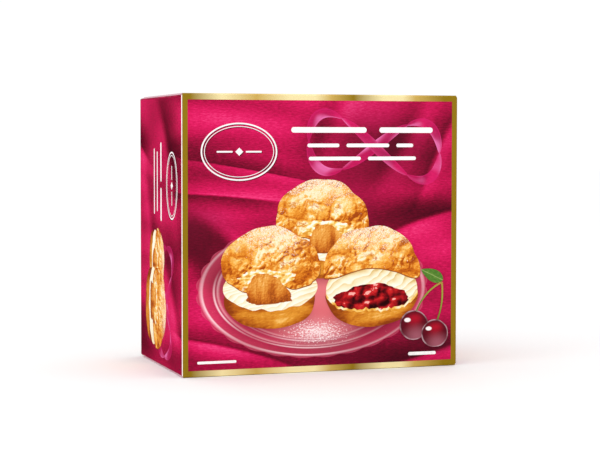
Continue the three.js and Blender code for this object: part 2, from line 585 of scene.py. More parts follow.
def crust_ink(wire):
    place, across, up = own_place(wire, "motif")
    loose = bent(wire, place, 2.2, 0.35)
    form = spot(wire, place, (-0.2, 0.4), (1.7, 1.35))
    edge = wire.fade(wire.radius(place), 0.72, 1.04)
    lumps = relief(wire, loose, (-0.08, 0.11), 2.1, 2.4, 1.2, 0.1)
    crevice = wire.fade(from_border(wire, loose, 2.1), 0.0, 0.09, 1, 0)
    crevice = wire.times(crevice, wire.fade(up, 0.2, 0.9, 1, 0))
    rough = wire.fade(wire.noise(place, 1.9, 2), 0.4, 0.58, 0.2, 0.85)
    bubbles = relief(wire, stretched(wire, loose, 1.4, 1), (-0.02, 0.03), 7.0, 1.0, 2.2, 0.3)
    bubbles = wire.math("SUBTRACT", bubbles, 0.5)
    grain = relief(wire, place, (-0.01, 0.016), 20.0, 0.3, 1.6)
    tone = wire.add(-0.07, (form, 0.35), (edge, -0.16), (lumps, 0.54), (crevice, -0.22), (bubbles, rough))
    colour = wire.ramp(wire.add(tone, (grain, 0.34)), CRUST_COLOURS)
    colour = wire.over(colour, BLOOM, wire.fade(up, 0.25, 1.0), wire.noise(place, 5.0, 2), 0.5)
    crack = wire.fade(from_border(wire, bent(wire, place, 4.0, 0.4), 5.6), 0.0, 0.07, 1, 0)
    sides = wire.fade(wire.math("ABSOLUTE", across), 0.2, 0.7, 0.0, 0.14)
    patch = wire.fade(wire.math("ADD", wire.noise(place, 2.6, 2), sides), 0.52, 0.66)
    patch = wire.times(patch, wire.fade(up, 0.2, 0.75, 1, 0.25))
    speckle = wire.fade(wire.noise(place, 18, 3, 0.65), 0.5, 0.6)
    brown = wire.math("MAXIMUM", wire.times(crack, 0.8), speckle)
    amount = wire.add(-0.16, (up, 0.8), (patch, -0.6))
    colour = wire.over(colour, MELTED_SUGAR, dust(wire, place, 13.0, amount), 0.55)
    colour = wire.over(colour, CRACK, patch, brown, 0.95)
    return wire.over(colour, SUGAR, dust(wire, place, 44.0, amount), 0.85)


# %% [markdown]
# The tongue baked in the open, so it is smooth and brown, with streaks along its length and
# one furrow. The torn crumb round it is soft and pale, and needs nothing but relief.

# %% Tongue and crumb inks
TONGUE_COLOURS = tones(
    (0.0, 146, 60, 8),
    (0.3, 196, 102, 22),
    (0.55, 222, 138, 46),
    (0.8, 240, 172, 80),
    (1.0, 253, 216, 146),
)
CRUMB_COLOURS = tones((0.15, 222, 150, 52), (0.42, 244, 192, 88), (0.7, 254, 226, 150), (1.0, 255, 251, 236))


def tongue_ink(wire):
    place, _, up = own_place(wire, "motif")
    loose = bent(wire, place, 1.5, 0.25)
    light = wire.fade(up, -1.0, 0.6)
    edge = wire.fade(wire.radius(place), 0.7, 1.3)
    furrow = spot(wire, loose, (0.28, -0.05), (0.34, 1.5))
    streaks = wire.noise(stretched(wire, loose, 7, 1), 1.0, 3, 0.6)
    pores = relief(wire, stretched(wire, place, 1.6, 1), (-0.04, 0.06), 6.0, 0.8, 2.0, 0.4)
    tone = wire.add(-0.1, (light, 0.34), (edge, -0.3), (furrow, -0.42), (streaks, 0.8), (pores, 0.2))
    return wire.ramp(tone, TONGUE_COLOURS)


def crumb_ink(wire):
    place, _, up = own_place(wire, "motif")
    torn = relief(wire, stretched(wire, place, 1.6, 0.7), (-0.06, 0.1), 3.0, 0.8, 2.0)
    return wire.ramp(wire.add(torn, (wire.fade(up, -0.2, 0.9), 0.3)), CRUMB_COLOURS)


# %% [markdown]
# Below the lid come the bun's base, piped cream and the fruit filling of a cut puff. The
# base is painted as the lid is, but smoother, and it is shaded where the cream hangs over.
# Cream from a nozzle lies in ruffles. A wave with a saw-tooth profile, bent by noise, has
# their sharp shadow on one side only. The filling is wet: its relief is rounder, and its
# highest tone is a pale glint.

# %% Base ink
BASE_COLOURS = tones(
    (0.1, 144, 60, 6),
    (0.35, 184, 96, 14),
    (0.58, 208, 126, 28),
    (0.8, 228, 154, 48),
    (1.0, 248, 200, 112),
)


def base_ink(wire):
    place, across, up = own_place(wire, "motif")
    loose = bent(wire, place, 1.6, 0.25)
    form = spot(wire, place, (0.1, -0.36), (1.2, 0.72))
    edge = wire.fade(wire.radius(place), 0.78, 1.02)
    lumps = relief(wire, loose, (-0.07, 0.12), 1.8, 0.9, 1.5, 0.5)
    grain = relief(wire, stretched(wire, loose, 1, 1.6), (-0.02, 0.03), 9.0, 0.5, 1.6)
    under_cream = wire.fade(up, -0.6, -0.3)
    left = wire.fade(across, -1.0, -0.4)
    tone = wire.add(-0.2, (form, 0.4), (edge, -0.2), (lumps, 0.7), (grain, 0.3), (under_cream, -0.18))
    return wire.ramp(wire.add(tone, (left, 0.16)), BASE_COLOURS)


# %% Cream ink
CREAM_COLOURS = tones(
    (0.05, 192, 140, 66),
    (0.3, 228, 196, 130),
    (0.48, 246, 228, 182),
    (0.7, 254, 244, 214),
    (1.0, 255, 253, 242),
)


def cream_ink(wire):
    place, _, up = own_place(wire, "motif")
    laid = wire.node("Mapping", Vector=bent(wire, place, 1.4, 0.6), Rotation=(0, 0, 0.9)).outputs[0]
    kind = {"wave_type": "BANDS", "bands_direction": "X", "wave_profile": "SAW"}
    ruffle = wire.node("TexWave", kind, Vector=laid, Scale=1.9, Distortion=3.2, Detail=1.0).outputs["Fac"]
    ruffle = wire.times(ruffle, wire.fade(ruffle, 0.9, 1.0, 1, 0.1))
    form = spot(wire, place, (-0.1, -0.3), (1.8, 1.6))
    lumps = relief(wire, place, (-0.05, 0.12), 2.6, 0.4, 1.0)
    under_lid = wire.fade(up, 0.0, 0.7)
    tone = wire.add(0.04, (form, 0.4), (ruffle, 0.54), (lumps, 0.36), (under_lid, -0.14))
    return wire.ramp(tone, CREAM_COLOURS)


# %% Filling ink
FILLING_COLOURS = tones(
    (0.0, 48, 0, 4),
    (0.3, 104, 0, 10),
    (0.6, 166, 10, 20),
    (0.88, 208, 32, 34),
    (0.97, 214, 60, 60),
    (1.0, 250, 176, 166),
)


def filling_ink(wire):
    place, _, _ = own_place(wire, "motif")
    even = stretched(wire, bent(wire, place, 2.0, 0.3), 1.0, 0.45)
    return wire.ramp(relief(wire, even, (-0.05, 0.06), 4.0, 1.2, 1.5, 0.3), FILLING_COLOURS)


# %% [markdown]
# The plate is pressed pink glass, and the satin shows through it. Its rings are thin pale
# lines, drawn by a ramp over the distance from its middle. Finer rings come from folding
# that distance to and fro. They shine only in three soft spots on the rim, as windows
# mirrored in it would. Spilt sugar lies on the front of the plate.

# %% Plate ink
PLATE_COLOURS = tones(
    (0.0, 238, 130, 134), (0.66, 224, 96, 108), (0.7, 216, 88, 104), (0.72, 248, 178, 184),
    (0.735, 186, 50, 80), (0.8, 204, 76, 100), (0.82, 248, 186, 194), (0.835, 176, 38, 70),
    (0.94, 206, 72, 100), (0.962, 250, 190, 200), (0.98, 196, 58, 90), (1.0, 214, 96, 124),
)
PLATE_SHINE, PLATE_SHADE = srgb(255, 214, 222), srgb(124, 24, 50)
SUGAR_FILM, SUGAR_SPECK = srgb(252, 204, 206), srgb(255, 240, 240)


def plate_ink(shadows):
    """Pink glass with rings, darkened under the given soft spots."""

    def paint(wire):
        place, _, _ = own_place(wire, "motif")
        radius = wire.radius(place)
        sheer = wire.fade(radius, 0.6, 0.8, 0.12, 0.45)
        colour = wire.mix(sheer, wire.ramp(radius, PLATE_COLOURS), cloth(wire))
        rings = wire.math("PINGPONG", wire.times(radius, 20.0), 1.0)
        rings = wire.times(wire.fade(rings, 0.7, 1.0), wire.fade(radius, 0.66, 0.76), 0.95)
        for centre in ((0.8, 0.5), (-0.85, -0.3), (-0.1, -0.95)):
            colour = wire.over(colour, PLATE_SHINE, spot(wire, place, centre, (0.6, 0.7)), rings)
        for centre, size, strength in shadows:
            colour = wire.over(colour, PLATE_SHADE, spot(wire, place, centre, size), strength)
        amount = spot(wire, place, (0.02, -0.62), (0.46, 0.32))
        colour = wire.over(colour, SUGAR_FILM, amount, 0.3)
        sugar = dust(wire, place, 52.0, wire.math("SUBTRACT", amount, 0.3))
        return wire.over(colour, SUGAR_SPECK, sugar, 0.85)

    return paint


# %% [markdown]
# A cherry is glossy, so it is painted in layers: a body that darkens outwards, a red glow
# above, the bright plate mirrored as a soft haze below, a thin broken rim where light comes
# round it, and one hard glint.

# %% Cherry ink
CHERRY_BODY = tones((0.0, 140, 4, 32), (0.6, 104, 4, 26), (1.0, 84, 10, 30))
CHERRY_RED, CHERRY_HAZE = srgb(176, 8, 38), srgb(166, 92, 108)
CHERRY_RIM, GLINT = srgb(216, 180, 188), srgb(255, 244, 244)


def cherry_ink(wire):
    place, _, _ = own_place(wire, "motif")
    radius = wire.radius(place)
    colour = wire.ramp(radius, CHERRY_BODY)
    colour = wire.over(colour, CHERRY_RED, spot(wire, place, (0.05, 0.45), (0.8, 0.55)))
    colour = wire.over(colour, CHERRY_HAZE, spot(wire, place, (0.2, -0.75), (1.25, 1.05)), 0.85)
    broken = wire.fade(wire.noise(place, 1.4, 1), 0.4, 0.58, 0.15, 0.7)
    colour = wire.over(colour, CHERRY_RIM, wire.fade(radius, 0.89, 0.99), broken)
    shine = wire.fade(spot(wire, place, (-0.46, 0.36), (0.4, 0.26)), 0.25, 0.6)
    return wire.over(colour, GLINT, shine)


# %% [markdown]
# A stalk is green on one end and brown on the other, where it grew on the twig. A leaf is
# mottled, with one pale vein along its middle.

# %% Stalk and leaf inks
STALK_COLOURS = tones((0.0, 92, 120, 40), (0.6, 150, 168, 60), (1.0, 176, 140, 66))
LEAF_COLOURS = tones((0.0, 40, 84, 28), (0.5, 84, 130, 46), (1.0, 150, 180, 84))
VEIN = srgb(190, 208, 130)


def stalk_ink(wire):
    _, across, _ = own_place(wire, "motif")
    return wire.ramp(wire.add(0.5, (across, 0.5)), STALK_COLOURS)


def leaf_ink(wire):
    place, _, up = own_place(wire, "motif")
    colour = wire.ramp(wire.add(0.1, (wire.noise(place, 3.0, 3), 0.8)), LEAF_COLOURS)
    vein = wire.fade(wire.math("ABSOLUTE", up), 0.0, 0.08, 1, 0)
    return wire.over(colour, VEIN, vein, 0.7)


# %% [markdown]
# The ribbon is sheer too, as the plate is. Its ink paints the satin that lies behind it and
# lays a pink over it that is stronger along the two edges and where it catches light.

# %% Ribbon ink
def ribbon_ink(wire):
    place, _, up = own_place(wire, "motif")
    glint = wire.fade(wire.noise(stretched(wire, place, 2.6, 0.3), 1.0, 1), 0.45, 0.7)
    pink = wire.mix(glint, srgb(208, 26, 104), srgb(232, 112, 174))
    edge = wire.fade(wire.math("ABSOLUTE", up), 0.62, 0.95)
    return wire.mix(wire.add(0.45, (glint, 0.4), (edge, 0.3)), cloth(wire), pink)


# %% [markdown]
# Bars, lines and thin shadows are printed in one ink each. Solid ink on paper is never
# quite even, so each has soft patches of a slightly darker tone.

# %% Plain inks
def plain_ink(colour, darker):
    """One colour, uneven by a small share as ink on paper is."""

    def paint(wire):
        place = wire.node("TexCoord").outputs["Object"]
        return blotchy(wire, place, colour, darker, 160.0)

    return paint


PICTURE_INKS = {
    "crust": crust_ink,
    "tongue": tongue_ink,
    "crumb": crumb_ink,
    "base": base_ink,
    "cream": cream_ink,
    "filling": filling_ink,
    "cherry": cherry_ink,
    "stalk": stalk_ink,
    "leaf": leaf_ink,
    "ribbon": ribbon_ink,
    "white": plain_ink(srgb(253, 251, 250), srgb(247, 243, 243)),
    "shade": plain_ink(srgb(170, 92, 30), srgb(146, 74, 24)),
    "shadow": plain_ink(srgb(118, 10, 42), srgb(104, 8, 36)),
    "pale": plain_ink(srgb(250, 240, 228), srgb(247, 234, 220)),
    "deep": plain_ink(srgb(120, 12, 46), srgb(104, 8, 38)),
}
INKS = {name: printed(f"{name} ink", paint) for name, paint in PICTURE_INKS.items()}
INKS["gold"] = printed("gold ink", gold_ink, roughness=0.36, metallic=0.12, coat=0.1)
print("inks:", ", ".join(INKS))

# %% [markdown]
# ## Drawing flat shapes
#
# Most printed shapes start as a disc. An outline function bends its rim: a dome, a
# scalloped plate, a bar with round ends. A stalk or a ribbon starts as a strip of grid,
# which a path function bends, and an oval line is two circles with a bridge between them.
# The flat shape is then drawn out into a closed sheet, so that no face is loose. Each
# sheet starts just clear of the wall, and it is higher than the ones that it covers.

# %% Laying ink on a wall
# The thickness of one layer of ink, in millimetres. A level counts in such layers.
LAYER = 0.02


def blank():
    """An empty mesh whose points carry their place in their own motif and on the flat sheet."""
    bm = bmesh.new()
    for name in ("motif", "sheet"):
        bm.verts.layers.float_vector.new(name)
    return bm


def around(verts, kind):
    """The "link_faces" or the "link_edges" of these points, each of them once."""
    return list({item for vert in verts for item in getattr(vert, kind)})


def lay_ink(bm, verts, board, centre=(0, 0), size=(1, 1), level=1, turn=0.0):
    """Draws the shape of these points out into a sheet and sets it on the board."""
    sheet = bm.verts.layers.float_vector["sheet"]
    raised = bmesh.ops.extrude_face_region(bm, geom=around(verts, "link_faces"))
    lifted = [item for item in raised["geom"] if isinstance(item, bmesh.types.BMVert)]
    bmesh.ops.translate(bm, verts=lifted, vec=Z)
    verts = verts + lifted
    bmesh.ops.recalc_face_normals(bm, faces=around(verts, "link_faces"))
    place = Matrix.Translation((*centre, LAYER / 2)) @ Matrix.Rotation(math.radians(turn), 4, "Z")
    place @= Matrix.Diagonal((*size, (level + 0.5) * LAYER, 1))
    bmesh.ops.transform(bm, matrix=place, verts=verts)
    for vert in verts:
        vert[sheet] = (*board.on_sheet(vert.co.x, vert.co.y), 0)
    bmesh.ops.transform(bm, matrix=board.matrix, verts=verts)


# A direction askew to every wall and shape, so that no two faces lie equally far along it.
ASKEW = Vector((0.61, 0.37, 0.83))


def piece(name, bm, ink):
    """A finished piece of print: a mesh that rides on the carton."""
    # Extruding makes the side faces in another order in each run, so they are sorted here.
    bm.faces.sort(key=lambda face: ASKEW.dot(face.calc_center_median()))
    mesh = bpy.data.meshes.new(name)
    bm.to_mesh(mesh)
    bm.free()
    mesh.materials.append(ink)
    made = bpy.data.objects.new(name, mesh)
    bpy.context.scene.collection.objects.link(made)
    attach(made, "root")
    print(f"{name}: {len(mesh.polygons)} faces")


# %% Discs and bars
# How many points the rim of a smooth shape has, and that of a small bar.
RIM_STEPS, BAR_STEPS = 96, 46


def oval(angle):
    return math.cos(angle), math.sin(angle)


def disc(bm, board, outline, centre, size, level, turn=0.0, seed=0.0, steps=RIM_STEPS):
    """A filled shape. outline gives the rim's place for an angle, within about -1 to 1."""
    motif = bm.verts.layers.float_vector["motif"]
    verts = bmesh.ops.create_circle(bm, cap_ends=True, radius=1.0, segments=steps)["verts"]
    for vert in verts:
        vert.co = (*outline(math.atan2(vert.co.y, vert.co.x)), 0)
        vert[motif] = (vert.co.x, vert.co.y, seed)
    lay_ink(bm, verts, board, centre, size, level, turn)


def bar(bm, board, centre, length, height, level):
    """A bar with round ends: a disc pulled apart at its middle."""
    stretch = (length - height) / height

    def outline(angle):
        x, y = oval(angle)
        return x + math.copysign(stretch, x), y

    disc(bm, board, outline, centre, (height / 2, height / 2), level, steps=BAR_STEPS)


# %% Strips and rings
def band(bm, board, path, half_width, level, seed=0.0, steps=24):
    """A strip along path(share), as wide as half_width(share) to each side."""
    motif = bm.verts.layers.float_vector["motif"]
    verts = bmesh.ops.create_grid(bm, x_segments=steps, y_segments=1, size=1.0)["verts"]
    for vert in verts:
        share = (vert.co.x + 1) / 2
        here, ahead = Vector(path(share)), Vector(path(share + 0.002))
        across = Vector((here.y - ahead.y, ahead.x - here.x)).normalized()
        vert[motif] = (vert.co.x, vert.co.y, seed)
        vert.co = (*(here + across * vert.co.y * half_width(share)), 0)
    lay_ink(bm, verts, board, level=level)


def ring(bm, board, centre, size, line, level):
    """An oval line of even width."""
    verts = []
    for inset in (0, line):
        made = bmesh.ops.create_circle(bm, radius=1.0, segments=RIM_STEPS)["verts"]
        shrink = Vector(((size[0] - inset) / size[0], (size[1] - inset) / size[1], 1))
        bmesh.ops.scale(bm, vec=shrink, verts=made)
        verts += made
    bmesh.ops.bridge_loops(bm, edges=around(verts, "link_edges"))
    lay_ink(bm, verts, board, centre, size, level)


# %% [markdown]
# ## The background of each wall
#
# Each wall's print is a thin sheet that stops where the fold begins to round, so the
# board shows along the folds. The sheets on the closing flaps at the two ends have the
# flaps' rounded corners, from a bevel of two corner points.

# %% Flat rectangles
def rectangle(bm, left, right, low, high):
    """The corner points of a flat rectangle with one face."""
    made = bmesh.ops.create_grid(bm, x_segments=1, y_segments=1, size=0.5)["verts"]
    bmesh.ops.scale(bm, vec=(right - left, high - low, 1), verts=made)
    bmesh.ops.translate(bm, vec=((left + right) / 2, (low + high) / 2, 0), verts=made)
    return made


def round_corners(bm, corners, radius):
    """Turns each of the corner points into an arc."""
    bmesh.ops.bevel(
        bm, geom=corners, offset=radius, affect="VERTICES", segments=10, profile=0.5, material=-1
    )


# %% Background sheets
# The radius of the folds, in millimetres.
FOLD = 0.9
# At both ends the back wall lies one board in, and the narrow walls lie two boards in.
BACK_STEP = 0.5
SIDE_STEP = 2 * BACK_STEP
# How far the print on a closing flap stays inside the carton's faces, at the flap's sides
# and at its free edge, and the radius of the two corners there.
FLAP_SIDE = 0.85
FLAP_EDGE = 1.65
FLAP_CORNER = 7.0


def background(wall, left, right, low, high, ink, rounded=0):
    """The print between these edges of a board. rounded: 1 for upper corners, -1 for lower."""
    bm = blank()
    corners = rectangle(bm, left, right, low, high)
    if rounded:
        round_corners(bm, [vert for vert in corners if vert.co.y * rounded > 0], FLAP_CORNER)
    lay_ink(bm, bm.verts[:], BOARDS[wall], level=0.5)
    piece(f"{wall}_background", bm, ink)


# %% [markdown]
# The front's own satin is darker under the plate and the fruit that lie on it. It is also
# darker behind the white bars, so that they stand out, and in a hollow of the cloth at the
# front's left edge.

# %% The walls' sheets
PLATE_CENTRE, PLATE_SIZE = (-6, -36), (80, 45)
# Each cherry: its centre and its radius.
FRUIT = [((64, -62), 10.2), ((79, -68), 9.6)]
on_sheet = BOARDS["front"].on_sheet
# Each shadow: its place, how far it reaches in the sheet's units, and its strength.
front_shadows = [
    (on_sheet(-2, -44), (0.95, 0.52), 0.75),
    (on_sheet(10, 10), (0.5, 0.42), 0.5),
    *((on_sheet(x + 3, y - 7), (0.16, 0.09), 0.9) for (x, y), _ in FRUIT),
    (on_sheet(40, 56), (0.72, 0.44), 0.62),
    (on_sheet(-96, 4), (0.5, 0.26), 0.75),
]

half_w, half_d, half_h = WIDTH / 2 - FOLD, DEPTH / 2 - FOLD, HEIGHT / 2 - FOLD
flap_w = WIDTH / 2 - FLAP_SIDE
satin = printed("satin", satin_ink())
background("front", -half_w, half_w, -half_h, half_h, printed("front satin", satin_ink(front_shadows)))
for wall in ("left", "right"):
    background(wall, -half_d, half_d, -half_h + SIDE_STEP, half_h - SIDE_STEP, satin)
background("back", -half_w, half_w, -half_h + BACK_STEP, half_h - BACK_STEP, satin)
background("top", -flap_w, flap_w, -half_d, DEPTH / 2 - FLAP_EDGE, satin, rounded=1)
background("bottom", -flap_w, flap_w, -DEPTH / 2 + FLAP_EDGE, half_d, satin, rounded=-1)

# %% [markdown]
# The gold frame is a rectangle with a rectangular hole. An inset of a plain rectangle
# makes its band, and the middle is thrown away.

# %% Gold frames
FRAME_BAND = 3.1


def gold_frame(wall, half_width, half_height):
    """A band of gold just inside the given rectangle."""
    bm = blank()
    rectangle(bm, -half_width, half_width, -half_height, half_height)
    middle = bm.faces[:]
    bmesh.ops.inset_region(bm, faces=middle, thickness=FRAME_BAND, use_boundary=True, use_even_offset=True)
    bmesh.ops.delete(bm, geom=middle, context="FACES")
    lay_ink(bm, bm.verts[:], BOARDS[wall], level=3)
    piece(f"{wall}_gold_frame", bm, INKS["gold"])


gold_frame("front", half_w, half_h)
gold_frame("back", half_w, half_h - BACK_STEP)

# %% [markdown]
# ## The picture
#
# The motifs are simple outlines, one shape for each thing that a painter would lay down in
# one go. Nothing baked or poured is quite even, so a few sine waves with a seed swell each
# rim a little, and the same each run.

# %% Uneven rims
def wobble(angle, seed, size):
    """A small irregular swell of the rim."""
    waves = math.sin(3 * angle + 1.7 * seed) + 0.7 * math.sin(5 * angle + 2.9 * seed)
    return 1 + size * (waves + 0.5 * math.sin(8 * angle - seed))


def ragged(angle, seed, size):
    """A finer, torn swell of the rim."""
    waves = math.sin(9 * angle + seed) + 0.8 * math.sin(16 * angle + 2.3 * seed)
    return 1 + size * (waves + 0.6 * math.sin(29 * angle - seed))


def blob_outline(seed, size, tear=0.0):
    def outline(angle):
        x, y = oval(angle)
        swell = wobble(angle, seed, size) * ragged(angle, seed, tear)
        return x * swell, y * swell

    return outline


# %% [markdown]
# A wall's picture is laid down as paper cut-outs are: what lies in front has the higher
# level. The shapes that one ink fills on one wall are gathered into one mesh, since they
# share its material, so even the front has no more than sixteen pieces.

# %% A picture on one wall
class Picture:
    """The shapes of one wall's picture, gathered by ink so that each ink is one piece."""

    def __init__(self, name, board):
        self.name = name
        self.board = BOARDS[board]
        self.meshes = {}

    def ink(self, name):
        if name not in self.meshes:
            self.meshes[name] = blank()
        return self.meshes[name]

    def shape(self, ink, outline, centre, size, level, **more):
        disc(self.ink(ink), self.board, outline, centre, size, level, **more)

    def overhang(self, ink, outline, centre, size, level, seed, drop):
        """A shape with a thin dark edge under it, where it hangs over what is below."""
        x, y = centre
        self.shape("shade", outline, (x + 0.4 * drop, y - drop), size, level, seed=seed)
        self.shape(ink, outline, centre, size, level + 1, seed=seed)

    def rules(self, lines, level=1):
        """Plain white bars, where words would be: each is centre x, y, length, height."""
        for x, y, length, height in lines:
            bar(self.ink("white"), self.board, (x, y), length, height, level)

    def done(self):
        """Makes each ink's shapes one piece."""
        for name, bm in self.meshes.items():
            label = name if name.startswith(self.name) else f"{self.name} {name}"
            piece(label.replace(" ", "_"), bm, INKS[name])


# %% [markdown]
# ## Puffs
#
# A puff is a bowl of crust, a wavy band of piped cream and a domed lid. One outline with
# painted borders would be simpler, but then the three could have no inks of their own. So
# each is a shape. The lid overlaps the cream and the cream overlaps the bowl, so that no
# gap shows.

# %% Outlines of a puff
def lid_outline(seed, hang=0.46, arch=0.0):
    """A lumpy dome. Its lower edge hangs in waves, or with an arch is lifted in the middle."""

    def outline(angle):
        lobes = abs(math.sin(2.5 * angle + seed)) + 0.5 * abs(math.sin(4.5 * angle + 2 * seed)) - 0.9
        swell = wobble(angle, seed, 0.014) + 0.055 * lobes
        x, y = oval(angle)
        if y > 0:
            return x * swell, y * swell
        drop = hang + 0.06 * math.sin(5 * x + seed) + 0.03 * math.sin(13 * x + 2 * seed)
        return x * swell, -drop * abs(y) ** 0.6 * (1 - arch * y * y)

    return outline


def bowl_outline(seed, dip=None):
    """A bun's base, round below. With a dip its upper edge hangs down like a hammock."""

    def outline(angle):
        swell = wobble(angle, seed + 2, 0.012)
        x, y = oval(angle)
        if y > 0 and dip:
            return x * swell, -dip * (1 - abs(x) ** 4.5) * ragged(3 * x, seed, 0.05)
        return x * swell, math.copysign(abs(y) ** 0.9, y) * swell

    return outline


def cream_outline(seed):
    """A flat oval whose lower edge drapes in ruffles."""

    def outline(angle):
        x, y = oval(angle)
        drape = 0.94 + 0.1 * abs(math.sin(5.5 * x + seed)) + 0.03 * math.sin(19 * x - seed)
        return x, y * (drape if y < 0 else 1)

    return outline


def tongue_outline(seed):
    """A torn flap with blunt corners, narrow above and spread out below."""

    def outline(angle):
        x, y = oval(angle)
        swell = wobble(angle, seed, 0.04) * ragged(angle, seed, 0.02)
        wide = math.copysign(abs(x) ** 0.45, x) * swell
        high = math.copysign(abs(y) ** 0.45, y) * swell
        return wide * (1 - 0.4 * high) - 0.16 * high, high * (1.1 - 0.2 * x * x)

    return outline


# %% [markdown]
# A whole puff shows the split in its lid. A cut puff shows its inside instead: the cream
# stands up under a lifted lid, the filling lies in it, and the base in front is a crescent
# whose torn upper edge lets the crumb show.
#
# Every measure is a share of the puff's radius r, so one function serves all sizes.

# %% The parts of a puff
def puff_part(picture, centre, r, seed, ink, outline, lift, size, level):
    """One shape of a puff, a share lift of r above its centre and size shares of r large."""
    place = (centre[0], centre[1] + lift * r)
    picture.shape(ink, outline, place, (size[0] * r, size[1] * r), level, seed=seed)


def lid(picture, centre, r, seed, outline, level):
    """The domed lid, with a thin shadow where it hangs over the cream."""
    place = (centre[0], centre[1] + 0.16 * r)
    picture.overhang("crust", outline, place, (r, 0.84 * r), level, seed, 0.02 * r)


def split(picture, centre, reach, level, seed):
    """The split in a lid: pale torn crumb, with a smooth tongue hanging out below it."""
    torn = blob_outline(seed, 0.08, 0.05)
    puff_part(picture, centre, reach, seed, "crumb", torn, 0, (1.1, 0.36), level)
    size = (0.78 * reach, 0.52 * reach)
    place = (centre[0], centre[1] - 0.36 * reach)
    picture.overhang("tongue", tongue_outline(seed), place, size, level + 1, seed, 0.035 * reach)


# %% Puffs whole and cut
def puff(picture, centre, r, level, seed, lean=0.0):
    """A whole puff: base, cream and lid, with its split towards one side."""
    part = functools.partial(puff_part, picture, centre, r, seed)
    part("base", bowl_outline(seed), -0.42, (0.93, 0.58), level)
    part("cream", cream_outline(seed), -0.2, (0.97, 0.44), level + 1)
    lid(picture, centre, r, seed, lid_outline(seed), level + 2)
    split(picture, (centre[0] + lean * r, centre[1] - 0.02 * r), 0.5 * r, level + 4, seed)


def cut_puff(picture, centre, r, level, seed):
    """A puff cut open: cream under the lid and dark filling in the base."""
    part = functools.partial(puff_part, picture, centre, r, seed)
    crescent = bowl_outline(seed, 0.52)
    part("cream", bowl_outline(seed), -0.26, (0.94, 0.62), level)
    part("filling", blob_outline(seed, 0.04, 0.02), -0.42, (0.78, 0.3), level + 1)
    part("crumb", crescent, -0.26, (0.95, 0.64), level + 2)
    part("base", crescent, -0.31, (0.96, 0.63), level + 3)
    lid(picture, centre, r, seed, lid_outline(seed, 0.42, 1.1), level + 4)


# %% [markdown]
# ## Plate and fruit
#
# The plate is an oval with shallow scallops in its rim. A cherry is a disc that is not
# quite round, and its stalk is a strip along a bowed line that thickens towards the twig.

# %% Plate
# How many scallops go round the rim, how deep they are, and how many points each one has.
SCALLOPS, SCALLOP_DEPTH, SCALLOP_STEPS = 28, 0.022, 12


def scalloped(angle):
    """A plate's rim with shallow scallops."""
    rim = 1 - SCALLOP_DEPTH * (1 - abs(math.sin(SCALLOPS / 2 * angle)))
    x, y = oval(angle)
    return rim * x, rim * y


def plate(picture, centre, size, level, shadows):
    name = f"{picture.name} plate"
    INKS[name] = printed(f"{name} ink", plate_ink(shadows))
    picture.shape(name, scalloped, centre, size, level, steps=SCALLOPS * SCALLOP_STEPS)


# %% Fruit
def cherry(picture, centre, radius, level, seed):
    outline = blob_outline(seed, 0.012)
    picture.shape("cherry", outline, centre, (radius, 0.96 * radius), level, seed=seed)


STALK_WIDTH = 1.1


def stalk(picture, start, end, sag, level):
    """A thin curved band from the fruit to where the stalks meet."""
    a, b = Vector(start), Vector(end)
    side = Vector((a.y - b.y, b.x - a.x)).normalized()

    def path(share):
        return a.lerp(b, share) + side * sag * 4 * share * (1 - share)

    def half_width(share):
        return STALK_WIDTH * (0.35 + 0.25 * share ** 3)

    band(picture.ink("stalk"), picture.board, path, half_width, level)


def leaf_outline(angle):
    x, y = oval(angle)
    return x, y * (1 - 0.35 * x) * abs(y) ** 0.35


# %% [markdown]
# ## Ribbon
#
# A sheer ribbon lies on the satin as a lying eight. One strip that crossed itself would
# have two faces at the same height there, and they would flicker. So it is made of two
# long curves, one level apart, that meet where the ribbon is thinnest.

# %% Ribbon
RIBBON_STEPS = 96


def ribbon_path(middle, reach, half, share):
    """One of the two long curves of a lying eight, from side to side."""
    turn = math.pi * (share + half)
    rise = reach[1] * math.sin(2 * turn) - 0.09 * reach[0] * math.cos(turn)
    return middle[0] + reach[0] * math.cos(turn), middle[1] + rise


def ribbon_width(share):
    """Half the ribbon's width: it narrows where it turns on edge, and at its ends."""
    return 0.4 + 3.0 * abs(math.sin(3 * math.pi * share)) ** 0.7


def ribbon(picture, middle, reach):
    for half in (0, 1):
        path = functools.partial(ribbon_path, middle, reach, half)
        bm, board = picture.ink("ribbon"), picture.board
        band(bm, board, path, ribbon_width, 1 + half, seed=3.0 * half, steps=RIBBON_STEPS)


# %% [markdown]
# ## Emblem
#
# The emblem is a plain ornament: two oval lines round a small diamond and two short bars.
# The same shapes are laid twice, first in a dark ink, a little down and to the right, as
# its shadow.

# %% Emblem
# In millimetres: the shift of the shadow, the width of the two lines, how far the inner one
# lies inside the outer one, half the diamond's width, and the height of the bars.
SHADOW_SHIFT = 0.5
OUTER_LINE, INNER_LINE, LINE_STEP = 1.0, 0.45, 2.2
DIAMOND, BAR_LINE = 2.6, 1.1
# The place and the length of a bar, as shares of half the emblem's width.
BAR_PLACE, BAR_LENGTH = 0.38, 0.42


def emblem(picture, centre, size):
    for ink, shift, level in (("shadow", SHADOW_SHIFT, 2), ("white", 0.0, 3)):
        x, y = centre[0] + shift, centre[1] - shift
        bm, board = picture.ink(ink), picture.board
        ring(bm, board, (x, y), size, OUTER_LINE, level)
        ring(bm, board, (x, y), (size[0] - LINE_STEP, size[1] - LINE_STEP), INNER_LINE, level)
        disc(bm, board, oval, (x, y), (DIAMOND, DIAMOND), level, steps=4)
        for side in (-1, 1):
            place = (x + side * BAR_PLACE * size[0], y)
            bar(bm, board, place, BAR_LENGTH * size[0], BAR_LINE, level)


